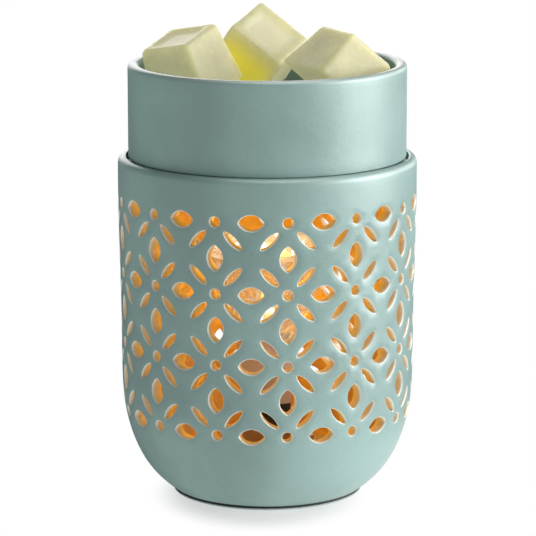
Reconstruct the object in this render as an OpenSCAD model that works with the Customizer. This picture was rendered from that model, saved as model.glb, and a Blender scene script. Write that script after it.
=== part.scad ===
// Wax warmer: a pierced ceramic lamp shade with a nesting ceramic melt dish,
// warmed and lit from inside by a twist-lock reflector bulb.
// Millimetres. +Z is up, the floor is z = 0 and the front is -Y.

/* [Shade] */
// Largest outer radius of the shade
shade_r = 54; // [50:0.5:60]
// Height of the shade's rim above the floor
shade_h = 123; // [118:0.5:130]
// Thickness of the shade's wall
shade_wall = 4.4; // [3.5:0.1:5]
// How much narrower the wall is where the belly begins
shade_taper = 1.2; // [0:0.1:3]
// Height where the wall starts to curve in to the foot
belly_z = 40; // [36:0.5:44]
// Radius of the belly's curve
belly_r = 60; // [56:0.5:66]
// Radius that rounds the belly into the foot
foot_round = 6; // [4:0.5:8]
// Radius that rounds the rim's outer edge
rim_round = 2.6; // [1:0.1:3]
// Width of the lip that stands round the dish
rim_lip = 3; // [2.8:0.1:3.5]
// Depth of the seat that the dish drops into
seat_depth = 3; // [2:0.1:5]
// Width of the seat's ledge
seat_w = 4.5; // [3:0.1:6]

/* [Pierced pattern] */
// Columns of openings round the shade, an even number
columns = 26; // [20:2:30]
// Height of the lowest row of dots
row_z = 31; // [29:0.5:33]
// Rows of dots
rows = 4; // [2:1:4]
// Distance between rows
row_pitch = 25.6; // [24:0.1:26]
// Diameter of a dot
dot_d = 4.2; // [3:0.1:5]
// Length of an upright or flat lens
lens_l = 9.8; // [8:0.1:11]
// Width of a lens
lens_w = 6.3; // [5:0.1:7]
// Length of a slanted petal
petal_l = 10.2; // [8:0.1:11]
// Width of a petal
petal_w = 3.5; // [2.5:0.1:4]
// Turn of the first dot column to the right of the front
pattern_turn = 7.3; // [0:0.1:13]

/* [Dish] */
// Height of the dish above the seat that it stands on
dish_h = 36.2; // [30:0.1:42]
// Thickness of the dish's wall
dish_wall = 4.2; // [3.5:0.1:5]
// Gap between the dish and the lip round it
dish_gap = 0.8; // [0.5:0.1:1.2]
// Depth of the bowl that holds the wax
bowl_depth = 19.2; // [17:0.1:20]
// Thickness of the bowl's floor
bowl_floor = 4.5; // [3.5:0.1:6]
// Radius between the bowl's wall and floor
bowl_round = 6; // [3:0.5:8]
// Depth of the ring that centres the dish in the shade's mouth
spigot_h = 2.5; // [1.5:0.1:4]

/* [Wax melts] */
// Width of the left melt's small face
left_top = 20.5; // [18:0.1:21]
// Width of the left melt's large face
left_base = 25; // [22:0.1:25.5]
// Height of the left melt
left_h = 23; // [20:0.1:23.5]
// Width of the middle melt's small face
middle_top = 21; // [18:0.1:21.5]
// Width of the middle melt's large face
middle_base = 24; // [21:0.1:24.5]
// Height of the middle melt
middle_h = 20.8; // [18:0.1:21.2]
// Width of the right melt's small face
right_top = 20; // [18:0.1:20.5]
// Width of the right melt's large face
right_base = 27.6; // [24:0.1:28]
// Height of the right melt
right_h = 21.2; // [18:0.1:21.6]
// Radius of a melt's edges
melt_round = 1.6; // [1:0.1:2.5]
// Depth of the hollow that cooling leaves in a melt's small face
melt_sink = 0.9; // [0.4:0.1:1.5]

/* [Foot and base] */
// Thickness of the non-slip ring under the foot
pad_t = 0.8; // [0.6:0.1:1.5]
// Width of the non-slip ring
pad_w = 3.8; // [3:0.1:5]
// Thickness of the shade's floor
floor_t = 5; // [4:0.1:6]
// Radius of the hole in the shade's floor
floor_hole_r = 24; // [22.5:0.5:25]
// Depth of the recess under the shade's floor
recess_h = 4.2; // [4:0.1:6]
// Thickness of the base plate
plate_t = 3; // [2.5:0.1:3.4]
// Side gap between parts that fit into one another
fit_gap = 0.4; // [0.2:0.05:0.6]
// Thickness of the gasket that the clamp ring bears on
gasket_t = 0.8; // [0.5:0.1:1.5]
// Thickness of the steel sheet of the clamp ring and the bracket
sheet_t = 1.5; // [1:0.1:2]
// Inner radius of the clamp ring and of the plate's boss
clamp_in_r = 15; // [14:0.5:16]
// Radius of the circle of base screws
screw_ring_r = 20; // [19.5:0.1:20.5]
// Diameter of every screw's shank
screw_d = 3; // [2.5:0.1:3.2]

/* [Lamp] */
// Width of the bracket's strap
bracket_w = 18; // [16:0.5:19]
// Distance between the outer faces of the bracket's legs
bracket_span = 35; // [34:0.5:36]
// Height of the bracket's top face above the floor
bracket_z = 24.5; // [22:0.5:26]
// Width of the lamp holder across its flats
holder_w = 17; // [16:0.5:20]
// Length of the lamp holder
holder_l = 30; // [29:0.5:32]
// Height of the holder's body
holder_h = 13; // [12:0.5:15]
// Height of the cap under the holder's body
holder_cap_h = 5; // [4:0.5:7]
// Distance between the bulb's pins
pin_pitch = 10; // [9.5:0.1:10.5]
// Diameter of a pin's head
pin_head_d = 5; // [4.5:0.1:5.2]
// Diameter of a pin's neck
pin_neck_d = 3; // [2.5:0.1:3.4]
// Turn that frees the bulb from its holder
twist = 20; // [15:1:25]
// Diameter of the bulb's reflector
bulb_d = 50; // [48:0.5:52]
// Height of the reflector above its base's foot
bulb_h = 47; // [44:0.5:50]
// Thickness of the reflector's glass
bulb_wall = 1.4; // [1:0.1:2]

/* [Cord inlet] */
// Height of the cord inlet at the back
inlet_z = 17; // [16:0.5:20]
// Radius of the hole in the grommet
inlet_r = 2.6; // [2:0.1:3]
// Radius of the grommet's neck
grommet_r = 4.4; // [4:0.1:5]

/* [Hidden] */

smooth = 96;         // segments that stand for a true round
belly_steps = 6;     // flats along the belly's curve
foot_steps = 4;      // flats round the foot's edge
seat_clear = 0.3;    // running gap under a piece that lifts off
tiny = 0.05;         // slack between a screw and its nut
over = 1;            // how far a cut runs past a face

// Shade
foot_z = pad_t;
recess_z = foot_z + recess_h;
floor_z = recess_z + floor_t;
belly_top_r = shade_r - shade_taper;
taper_z = shade_h - 11;
taper_a = atan2(shade_taper, taper_z - belly_z);
belly_c = [belly_top_r - belly_r * cos(taper_a), belly_z + belly_r * sin(taper_a)];
foot_a = asin((belly_c[1] - foot_round - foot_z) / (belly_r - foot_round));
foot_c = [belly_c[0] + (belly_r - foot_round) * cos(foot_a), foot_z + foot_round];
mouth_r = shade_r - rim_lip - seat_w;
lip_r = shade_r - rim_lip;
seat_z = shade_h - seat_depth;
neck_z = seat_z - 4.5;
slope_h = shade_r - shade_wall - mouth_r;
column_a = 360 / columns;
front_a = -90 + pattern_turn;
recess_r = foot_c[0] - pad_w - fit_gap;

// Dish
dish_z = seat_z + seat_clear;
dish_r = lip_r - dish_gap;
dish_top_z = dish_z + dish_h;
bowl_r = dish_r - dish_wall;
bowl_z = dish_top_z - bowl_depth;
under_z = bowl_z - bowl_floor;
spigot_r = mouth_r - dish_gap;
spigot_w = 4;
dish_edge = 1.2;
dish_rim_out = 1.7;
dish_rim_in = 1.1;

// Wax melts: the centre of each and its turns about X, Y and Z
left_at = [-28.7, 9.3, bowl_z + 16.2];
left_turn = [-10, -16.6, 58.8];
middle_at = [-2.8, 28.3, bowl_z + 18.2];
middle_turn = [40.9, -20.4, 57.5];
right_at = [26.4, -8.3, bowl_z + 17.6];
right_turn = [-39.5, 4.9, -58.5];

// Base
plate_r = recess_r - fit_gap;
boss_r = floor_hole_r - fit_gap;
plate_z = recess_z - plate_t;
boss_top = floor_z - fit_gap;
screw_r = screw_d / 2;
head_r = 0.95 * screw_d;
head_h = 0.55 * screw_d;
sink_h = head_h + 0.2;
nut_r = 0.92 * screw_d / cos(30);
nut_h = 0.8 * screw_d;
hole_slack = 0.2;
clamp_out_r = floor_hole_r + 7;
gasket_z = floor_z;
clamp_z = floor_z + gasket_t;
clamp_top = clamp_z + sheet_t;
base_screw_a = [45, 135, 225, 315];

// Lamp
leg_y = bracket_span / 2;
bracket_foot = 8.5;
rivet_y = leg_y + 3.5;
rivet_r = 1.6;
cap_z = bracket_z;
holder_z = cap_z + holder_cap_h;
holder_top = holder_z + holder_h;
pin_r = pin_pitch / 2;
slot_plate = 3;
chamber_z = holder_z + 4.5;
chamber_top = holder_top - slot_plate;
slot_clear = 0.35;
holder_screw_y = holder_l / 2 - 3.6;
holder_head_r = 2.3;
wire_r = 1.1;
clip_t = 0.6;
block_w = 12;
block_l = 20;
block_h = 9;
block_top = recess_z + block_h;
bulb_z = holder_top + 0.5;
neck_h = 13;
base_r = 11;
reflector_z = bulb_z + neck_h;
reflector_top = bulb_z + bulb_h;
band_h = 3;
neck_r = 9;
bulb_r = bulb_d / 2;
dome_top = reflector_top - band_h;
focus4 = ((bulb_r - over) * (bulb_r - over) - neck_r * neck_r) / (dome_top - reflector_z);
vertex_z = reflector_z - neck_r * neck_r / focus4;
lens_t = 2;
capsule_r = 4.5;
capsule_wall = 0.8;
capsule_h = 17;
capsule_z = reflector_z + 2.2;
filament_w = 4;

// Cord inlet
inlet_out_r = belly_c[0] + sqrt(belly_r * belly_r - (belly_c[1] - inlet_z) * (belly_c[1] - inlet_z));
inlet_slope = asin((belly_c[1] - inlet_z) / belly_r);
flange_r = grommet_r + 1.6;
flange_t = 1.2;

ceramic = [0.56, 0.69, 0.67];
wax = [0.87, 0.87, 0.66];
steel = [0.72, 0.73, 0.74];
brass = [0.80, 0.66, 0.36];
black = [0.06, 0.07, 0.07];
white = [0.93, 0.92, 0.88];
clear_glass = [0.85, 0.90, 0.92, 0.45];

// ---- shared shapes ----

// A solid of revolution with true round walls.
module turned() {
    rotate_extrude($fn = smooth) children();
}

// A flat ring from z to z + h.
module ring(r_in, r_out, z, h) {
    translate([0, 0, z])
        turned() translate([r_in, 0]) square([r_out - r_in, h]);
}

module post(r, z, h) {
    translate([0, 0, z]) cylinder(r = r, h = h, $fn = smooth);
}

// A lens: the overlap of two equal rounds. Given flats, each side is drawn with that many.
module lens(l, w, flats = 0) {
    r = (l * l + w * w) / (4 * w);
    half = asin(l / (2 * r));
    step = 2 * half / max(flats, 1);
    side = [for (i = [0:flats - 1]) [r * cos(-half + i * step) - r + w / 2, r * sin(-half + i * step)]];
    if (flats > 0) polygon(concat(side, [for (p = side) [-p[0], -p[1]]]));
    else intersection() {
        translate([w / 2 - r, 0]) circle(r = r, $fn = smooth);
        translate([r - w / 2, 0]) circle(r = r, $fn = smooth);
    }
}

// A hexagon nut on a screw.
module nut(z) {
    translate([0, 0, z]) difference() {
        cylinder(r = nut_r, h = nut_h, $fn = 6);
        translate([0, 0, -over]) cylinder(r = screw_r + tiny, h = nut_h + 2 * over, $fn = smooth);
    }
}

// ---- shade ----

// A point on the belly's curve at angle a below the horizontal, pulled in by t.
function belly_point(a, t) = [belly_c[0] + (belly_r - t) * cos(a), belly_c[1] - (belly_r - t) * sin(a)];

// The shade's outline, pulled in by t all round the wall.
module shade_outline(t) {
    foot = [for (i = [0:foot_steps - 1]) let (a = 90 - i * (90 - foot_a) / foot_steps)
        foot_c + foot_round * [cos(a), -sin(a)]];
    belly = [for (i = [0:belly_steps]) belly_point(foot_a + i * (taper_a - foot_a) / belly_steps, t)];
    polygon(concat(
        [[0, foot_z]],
        t > 0 ? [[foot_c[0], foot_z]] : foot,
        belly,
        [[shade_r - t, taper_z], [shade_r - t, shade_h + over], [0, shade_h + over]]
    ));
}

module shade_profile() {
    difference() {
        intersection() {
            shade_outline(0);
            union() {
                translate([0, foot_z]) square([shade_r, shade_h - foot_z - rim_round]);
                translate([0, foot_z]) square([shade_r - rim_round, shade_h - foot_z]);
                translate([shade_r - rim_round, shade_h - rim_round]) circle(r = rim_round, $fn = 12);
            }
        }
        intersection() {
            shade_outline(shade_wall);
            polygon([
                [0, floor_z],
                [shade_r, floor_z],
                [shade_r, neck_z - slope_h],
                [shade_r - shade_wall, neck_z - slope_h],
                [mouth_r, neck_z],
                [mouth_r, shade_h + over],
                [0, shade_h + over],
            ]);
        }
        translate([-over, 0]) square([floor_hole_r + over, floor_z + over]);
        translate([-over, 0]) square([recess_r + over, recess_z]);
        translate([-over, seat_z]) square([lip_r + over, seat_depth + over]);
    }
}

// Cuts one opening through the wall at angle a and height z.
module pierce(a, z, turn = 0) {
    rotate([0, 0, a])
        translate([shade_r - 2 * shade_wall, 0, z])
            rotate([90, 0, 90])
                linear_extrude(3 * shade_wall) rotate([0, 0, turn]) children();
}

// Dots ringed by petals, with lenses between them: overlapping circles drawn as openings.
module pierced_pattern() {
    for (i = [0:2:columns - 1]) {
        for (j = [0:rows - 1])
            pierce(front_a + i * column_a, row_z + j * row_pitch) circle(d = dot_d, $fn = 8);
        for (j = [0:rows - 2])
            pierce(front_a + i * column_a, row_z + (j + 0.5) * row_pitch) lens(lens_l, lens_w, 4);
    }
    for (i = [1:2:columns - 1], j = [0:rows - 1])
        pierce(front_a + i * column_a, row_z + j * row_pitch, 90) lens(lens_l, lens_w, 4);
    for (i = [0:columns - 1], j = [0:2 * rows - 3])
        let (lean = (i + j) % 2 == 0 ? -45 : 45)
            pierce(front_a + (i + 0.5) * column_a, row_z + (j + 0.5) * row_pitch / 2, lean)
                lens(petal_l, petal_w);
}

// Along the cord inlet's axis, square to the wall at the back.
module at_inlet() {
    translate([0, inlet_out_r, inlet_z]) rotate([-90 - inlet_slope, 0, 0]) children();
}

module shade() {
    color(ceramic) difference() {
        turned() shade_profile();
        pierced_pattern();
        at_inlet() translate([0, 0, -3 * shade_wall])
            cylinder(r = grommet_r + fit_gap / 2, h = 5 * shade_wall, $fn = smooth);
    }
}

// ---- dish ----

module dish_profile() {
    difference() {
        union() {
            translate([0, dish_z + dish_edge]) square([dish_r, dish_h - dish_edge - dish_rim_out]);
            translate([0, dish_z]) square([dish_r - dish_edge, dish_h]);
            translate([dish_r - dish_edge, dish_z + dish_edge]) circle(r = dish_edge, $fn = smooth);
            translate([dish_r - dish_rim_out, dish_top_z - dish_rim_out])
                circle(r = dish_rim_out, $fn = smooth);
            translate([spigot_r - spigot_w, dish_z - spigot_h]) square([spigot_w, spigot_h + over]);
        }
        translate([-over, bowl_z + bowl_round]) square([bowl_r + over, bowl_depth]);
        translate([-over, bowl_z]) square([bowl_r - bowl_round + over, bowl_depth]);
        intersection() {
            translate([bowl_r - bowl_round, bowl_z + bowl_round]) circle(r = bowl_round, $fn = smooth);
            square([dish_r, dish_top_z]);
        }
        difference() {
            translate([bowl_r - over, dish_top_z - dish_rim_in])
                square([over + dish_rim_in, dish_rim_in + over]);
            translate([bowl_r + dish_rim_in, dish_top_z - dish_rim_in])
                circle(r = dish_rim_in, $fn = smooth);
        }
        difference() {
            translate([dish_r - dish_rim_out, dish_top_z - dish_rim_out]) square(dish_rim_out + over);
            translate([dish_r - dish_rim_out, dish_top_z - dish_rim_out])
                circle(r = dish_rim_out, $fn = smooth);
        }
        translate([-over, dish_z - spigot_h - over])
            square([spigot_r - spigot_w + over, under_z - dish_z + spigot_h + over]);
    }
}

module dish() {
    color(ceramic) turned() dish_profile();
}

// ---- wax melts ----

// A melt as it leaves its tray: a tapered block with soft edges and a sunken small face.
module melt(top, base, h) {
    r = melt_round;
    difference() {
        hull() for (x = [-1, 1], y = [-1, 1], end = [[base, -1], [top, 1]])
            translate([x * (end[0] / 2 - r), y * (end[0] / 2 - r), end[1] * (h / 2 - r)])
                sphere(r = r, $fn = 16);
        translate([0, 0, h / 2 - melt_sink]) rotate([0, 0, 45])
            cylinder(r1 = 0.3 * top, r2 = 0.3 * top + 3 * (melt_sink + over), h = melt_sink + over, $fn = 4);
    }
}

module wax_melt_left() {
    color(wax) translate(left_at) rotate(left_turn) melt(left_top, left_base, left_h);
}

module wax_melt_middle() {
    color(wax) translate(middle_at) rotate(middle_turn) melt(middle_top, middle_base, middle_h);
}

module wax_melt_right() {
    color(wax) translate(right_at) rotate(right_turn) melt(right_top, right_base, right_h);
}

// ---- foot and base ----

module foot_pad() {
    color(black) ring(foot_c[0] - pad_w, foot_c[0], 0, pad_t);
}

module base_plate() {
    color(black) difference() {
        union() {
            post(plate_r, plate_z, plate_t);
            ring(clamp_in_r + fit_gap, boss_r, recess_z - over, boss_top - recess_z + over);
        }
        for (a = base_screw_a) rotate([0, 0, a]) translate([screw_ring_r, 0, 0]) {
            post(screw_r + hole_slack, 0, floor_z + over);
            post(head_r + hole_slack, 0, plate_z + sink_h);
        }
    }
}

module base_screws() {
    color(steel) for (a = base_screw_a) rotate([0, 0, a]) translate([screw_ring_r, 0, 0]) {
        post(head_r, plate_z + sink_h - head_h, head_h);
        post(screw_r, plate_z + sink_h - over, clamp_top + nut_h + 0.6 - plate_z - sink_h + over);
    }
}

module clamp_gasket() {
    color(black) ring(floor_hole_r + 0.6, clamp_out_r, gasket_z, gasket_t);
}

module clamp_ring() {
    color(steel) difference() {
        ring(clamp_in_r, clamp_out_r, clamp_z, sheet_t);
        for (a = base_screw_a) rotate([0, 0, a]) translate([screw_ring_r, 0, 0])
            post(screw_r + hole_slack, clamp_z - over, sheet_t + 2 * over);
        for (s = [-1, 1]) translate([0, s * rivet_y, 0])
            post(rivet_r + tiny, clamp_z - over, sheet_t + 2 * over);
    }
}

module clamp_nuts() {
    color(steel) for (a = base_screw_a) rotate([0, 0, a]) translate([screw_ring_r, 0, 0]) nut(clamp_top);
}

// ---- lamp ----

// A strap bent into a bridge over the terminal block.
module lamp_bracket() {
    color(steel) difference() {
        union() {
            translate([-bracket_w / 2, -leg_y, bracket_z - sheet_t])
                cube([bracket_w, bracket_span, sheet_t]);
            for (s = [-1, 1]) {
                translate([-bracket_w / 2, s * (leg_y - sheet_t / 2) - sheet_t / 2, clamp_top])
                    cube([bracket_w, sheet_t, bracket_z - clamp_top]);
                translate([-bracket_w / 2, s * (leg_y + bracket_foot / 2 - sheet_t / 2)
                           - (bracket_foot - sheet_t) / 2, clamp_top])
                    cube([bracket_w, bracket_foot - sheet_t, sheet_t]);
            }
        }
        for (s = [-1, 1]) {
            translate([0, s * rivet_y, 0]) post(rivet_r + tiny, clamp_top - over, sheet_t + 2 * over);
            translate([0, s * holder_screw_y, 0])
                post(screw_r + hole_slack, bracket_z - sheet_t - over, sheet_t + 2 * over);
            translate([0, s * pin_r, 0])
                post(wire_r + fit_gap, bracket_z - sheet_t - over, sheet_t + 2 * over);
        }
    }
}

module bracket_rivets() {
    color(steel) for (s = [-1, 1]) translate([0, s * rivet_y, 0]) {
        post(rivet_r, clamp_z - 0.1, 2 * sheet_t + 0.2);
        post(1.7 * rivet_r, clamp_top + sheet_t, 1.1);
        post(1.5 * rivet_r, clamp_z - 0.7, 0.7);
    }
}

// The plan of the lamp holder: a disc with two flats.
module holder_plan(inset = 0) {
    intersection() {
        circle(d = holder_l - 2 * inset, $fn = smooth);
        square([holder_w - 2 * inset, holder_l], center = true);
    }
}

// The path that a round of radius r sweeps while the bulb twists.
module twist_slot(r) {
    for (s = [0, 180]) rotate([0, 0, s]) {
        translate([0, pin_r]) circle(r = r, $fn = smooth);
        rotate([0, 0, twist]) translate([0, pin_r]) circle(r = r, $fn = smooth);
        intersection() {
            difference() {
                circle(r = pin_r + r, $fn = smooth);
                circle(r = pin_r - r, $fn = smooth);
            }
            polygon([[0, 0], [0, 2 * holder_l], [-2 * holder_l * tan(twist), 2 * holder_l]]);
        }
    }
}

module lamp_holder() {
    head = pin_head_d / 2 + slot_clear;
    color(black) difference() {
        translate([0, 0, holder_z]) linear_extrude(holder_h) holder_plan();
        translate([0, 0, chamber_z]) linear_extrude(chamber_top - chamber_z) twist_slot(head);
        translate([0, 0, chamber_top - over])
            linear_extrude(slot_plate + 2 * over) twist_slot(pin_neck_d / 2 + slot_clear);
        for (s = [0, 180]) rotate([0, 0, s + twist]) translate([0, pin_r, 0])
            post(head, chamber_z, holder_top - chamber_z + over);
        for (s = [-1, 1]) {
            translate([0, s * pin_r, 0])
                post(wire_r + tiny, holder_z - over, chamber_z - holder_z + 2 * over);
            translate([0, s * holder_screw_y, 0]) {
                post(screw_r + hole_slack, holder_z - over, holder_h + 2 * over);
                post(holder_head_r + hole_slack, holder_top - head_h - 0.4, head_h + over);
            }
        }
    }
}

module holder_cap() {
    color(black) translate([0, 0, cap_z]) difference() {
        linear_extrude(holder_cap_h) holder_plan(0.6);
        for (s = [-1, 1]) {
            translate([0, s * pin_r, -over])
                cylinder(r = wire_r + tiny, h = holder_cap_h + 2 * over, $fn = smooth);
            translate([0, s * holder_screw_y, -over])
                cylinder(r = screw_r + hole_slack, h = holder_cap_h + 2 * over, $fn = smooth);
        }
    }
}

module holder_screws() {
    low = bracket_z - sheet_t - nut_h - 0.6;
    seat = holder_top - head_h - 0.4;
    color(steel) for (s = [-1, 1]) translate([0, s * holder_screw_y, 0]) {
        post(screw_r, low, seat - low + 0.1);
        post(holder_head_r, seat, head_h);
    }
}

module holder_nuts() {
    color(steel) for (s = [-1, 1]) translate([0, s * holder_screw_y, 0]) nut(bracket_z - sheet_t - nut_h);
}

// Springy brass clips that press on the pins from below.
module contact_clips() {
    high = chamber_top - pin_foot() - seat_clear;
    color(brass) for (s = [-1, 1]) translate([0, s * pin_r, 0]) rotate([0, 0, s > 0 ? 0 : 180]) {
        translate([-1.6, -1.2, chamber_z]) cube([3.2, 2.4, clip_t]);
        translate([-1.6, -1.2, chamber_z]) cube([clip_t, 2.4, high - chamber_z]);
        translate([-1.6, -1.2, high - clip_t]) cube([3.2, 2.4, clip_t]);
    }
}

module lead_wires() {
    color(white) for (s = [-1, 1])
        translate([0, s * pin_r, 0]) post(wire_r, block_top, chamber_z - block_top);
}

module terminal_block() {
    color(white) difference() {
        translate([-block_w / 2, -block_l / 2, recess_z]) cube([block_w, block_l, block_h]);
        for (s = [-1, 1]) translate([block_w / 4 + 0.4, s * pin_r, 0]) post(1.7, block_top - 3, 3 + over);
        translate([0, 0, recess_z + block_h / 2 + 2.6])
            cube([block_w + over, 2, block_h / 2], center = true);
    }
}

module terminal_screws() {
    color(brass) for (s = [-1, 1]) translate([block_w / 4 + 0.4, s * pin_r, 0]) difference() {
        post(1.6, block_top - 3, 2.4);
        translate([0, 0, block_top - 0.9]) cube([4, 0.6, 0.8], center = true);
    }
}

// A grooved rubber bush in the shade's wall.
module cord_grommet() {
    neck = shade_wall + 0.6;
    color(black) at_inlet() difference() {
        union() {
            translate([0, 0, -neck]) cylinder(r = grommet_r, h = neck, $fn = smooth);
            translate([0, 0, 0.3]) cylinder(r = flange_r, h = flange_t, $fn = smooth);
            translate([0, 0, -0.2]) cylinder(r = grommet_r, h = 0.6, $fn = smooth);
            translate([0, 0, -neck - flange_t]) cylinder(r = flange_r, h = flange_t, $fn = smooth);
        }
        translate([0, 0, -3 * neck]) cylinder(r = inlet_r, h = 6 * neck, $fn = smooth);
    }
}

// ---- bulb ----

// How far a pin's foot lies under the slotted plate.
function pin_foot() = 3.2;

// Points of the reflector's bowl, a parabola pulled in by t.
function bowl_points(t) = [for (i = [0:8]) let (z = reflector_z + i * (dome_top - reflector_z) / 8)
    [sqrt(focus4 * (z - vertex_z)) - t, z]];

module bulb_base() {
    color(white) turned() difference() {
        union() {
            translate([0, bulb_z]) square([base_r - over, neck_h]);
            translate([0, bulb_z + over]) square([base_r, neck_h - over]);
        }
        translate([-over, reflector_z - 1.5]) square([neck_r + 0.3 + over, 5]);
    }
}

module bulb_pins() {
    foot = chamber_top - pin_foot();
    color(brass) for (s = [-1, 1]) translate([0, s * pin_r, 0]) {
        post(pin_head_d / 2, foot, pin_foot() - 0.6);
        post(pin_neck_d / 2, foot, bulb_z - foot);
    }
}

module bulb_reflector() {
    color(clear_glass) turned() polygon(concat(
        [[capsule_r + 0.6, reflector_z - 1.5], [neck_r, reflector_z - 1.5]],
        bowl_points(0),
        [[bulb_r, dome_top], [bulb_r, reflector_top], [bulb_r - bulb_wall, reflector_top],
         [bulb_r - bulb_wall, dome_top]],
        [for (i = [7:-1:1]) bowl_points(bulb_wall)[i]],
        [[capsule_r + 0.6, reflector_z + 1.2]]
    ));
}

module bulb_front_glass() {
    color(clear_glass) post(bulb_r - bulb_wall - tiny, reflector_top - lens_t - 0.4, lens_t);
}

module bulb_capsule() {
    bottom = reflector_z - 1.5;
    ball_z = capsule_z + capsule_h - capsule_r;
    color(clear_glass) difference() {
        turned() difference() {
            union() {
                translate([0, bottom]) square([capsule_r, ball_z - bottom]);
                intersection() {
                    translate([0, ball_z]) circle(r = capsule_r, $fn = smooth);
                    translate([0, ball_z]) square(capsule_r);
                }
            }
            translate([-over, capsule_z]) square([capsule_r - capsule_wall + over, ball_z - capsule_z]);
            intersection() {
                translate([0, ball_z]) circle(r = capsule_r - capsule_wall, $fn = smooth);
                translate([0, ball_z]) square(capsule_r);
            }
        }
        for (s = [-1, 1])
            translate([s * filament_w / 2, 0, 0])
                post(0.4, bottom - over, capsule_z - bottom + 2 * over);
    }
}

module bulb_filament() {
    coil_z = capsule_z + 7;
    bottom = reflector_z - 1.5;
    color(steel) {
        for (s = [-1, 1]) translate([s * filament_w / 2, 0, 0]) post(0.35, bottom, coil_z - bottom);
        translate([-filament_w / 2 - 0.35, 0, coil_z]) rotate([0, 90, 0])
            cylinder(r = 0.7, h = filament_w + 0.7, $fn = smooth);
    }
}

shade();
dish();
wax_melt_left();
wax_melt_middle();
wax_melt_right();
foot_pad();
base_plate();
base_screws();
clamp_gasket();
clamp_ring();
clamp_nuts();
lamp_bracket();
bracket_rivets();
lamp_holder();
holder_cap();
holder_screws();
holder_nuts();
contact_clips();
lead_wires();
terminal_block();
terminal_screws();
cord_grommet();
bulb_base();
bulb_pins();
bulb_reflector();
bulb_front_glass();
bulb_capsule();
bulb_filament();
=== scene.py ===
"""Looks for a ceramic wax warmer: a pierced lamp shade, a dish of wax melts and the lamp inside.

Everything is in metres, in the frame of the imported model. The shade, the dish, the melts and the
reflector stand for the solids of the same name. Their sizes are those of the solids, apart from the
belly's outline, the openings and the melts, which are fitted more finely here.
"""

import logging
import math
from collections.abc import Sequence
from dataclasses import dataclass, field, replace
from enum import Enum

import bpy
import numpy as np
from mathutils import Euler, Matrix, Vector, noise
from mathutils.geometry import delaunay_2d_cdt

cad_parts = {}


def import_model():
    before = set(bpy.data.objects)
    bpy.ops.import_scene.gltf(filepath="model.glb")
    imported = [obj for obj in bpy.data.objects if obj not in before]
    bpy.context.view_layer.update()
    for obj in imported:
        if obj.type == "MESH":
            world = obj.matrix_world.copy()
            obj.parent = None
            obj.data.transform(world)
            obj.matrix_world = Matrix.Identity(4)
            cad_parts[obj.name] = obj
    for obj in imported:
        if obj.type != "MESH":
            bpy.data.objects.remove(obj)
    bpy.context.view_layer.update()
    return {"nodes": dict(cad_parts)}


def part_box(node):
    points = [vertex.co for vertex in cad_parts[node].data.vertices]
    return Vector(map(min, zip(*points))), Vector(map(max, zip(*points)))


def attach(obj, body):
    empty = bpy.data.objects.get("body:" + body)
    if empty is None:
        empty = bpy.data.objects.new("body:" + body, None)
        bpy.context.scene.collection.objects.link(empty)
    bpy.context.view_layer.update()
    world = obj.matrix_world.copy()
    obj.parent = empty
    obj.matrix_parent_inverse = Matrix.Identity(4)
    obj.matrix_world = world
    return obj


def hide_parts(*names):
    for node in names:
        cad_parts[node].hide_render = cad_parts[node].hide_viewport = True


LOG = logging.getLogger("wax_warmer")
MM = 0.001
Color = tuple[float, float, float]
Point2 = tuple[float, float]
Point3 = tuple[float, float, float]
Settings = dict | None
Sockets = dict | Sequence | None
WHITE = (1.0, 1.0, 1.0)
BLACK = (0.0, 0.0, 0.0)
TINY = 1e-9


def tint(color: Color, share: float, lift: float = 0.0) -> Color:
    """Return a colour times share, plus lift, with no channel over 1."""
    return tuple(min(1.0, share * c + lift) for c in color)


def smooth_step(value: float, low: float, high: float) -> float:
    """Return 0 below low, 1 above high, and a smooth step between them."""
    t = min(max((value - low) / (high - low), 0.0), 1.0)
    return t * t * (3 - 2 * t)


# ---------------------------------------------------------------- shader and geometry node helpers


@dataclass(frozen=True)
class Pattern:
    """Noise on a surface, and its shares in the surface's roughness and relief.

    Its scale is how many lumps there are in a metre, its detail how many finer layers are added and
    fine how strong they are. A soft step of the colour begins and ends at its reach.
    """

    scale: float
    detail: float
    reach: Point2 | None = None
    dull: float = 0.0
    lift: float = 0.0
    fine: float = 0.5
    stretch: Point3 = (1.0, 1.0, 1.0)


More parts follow.
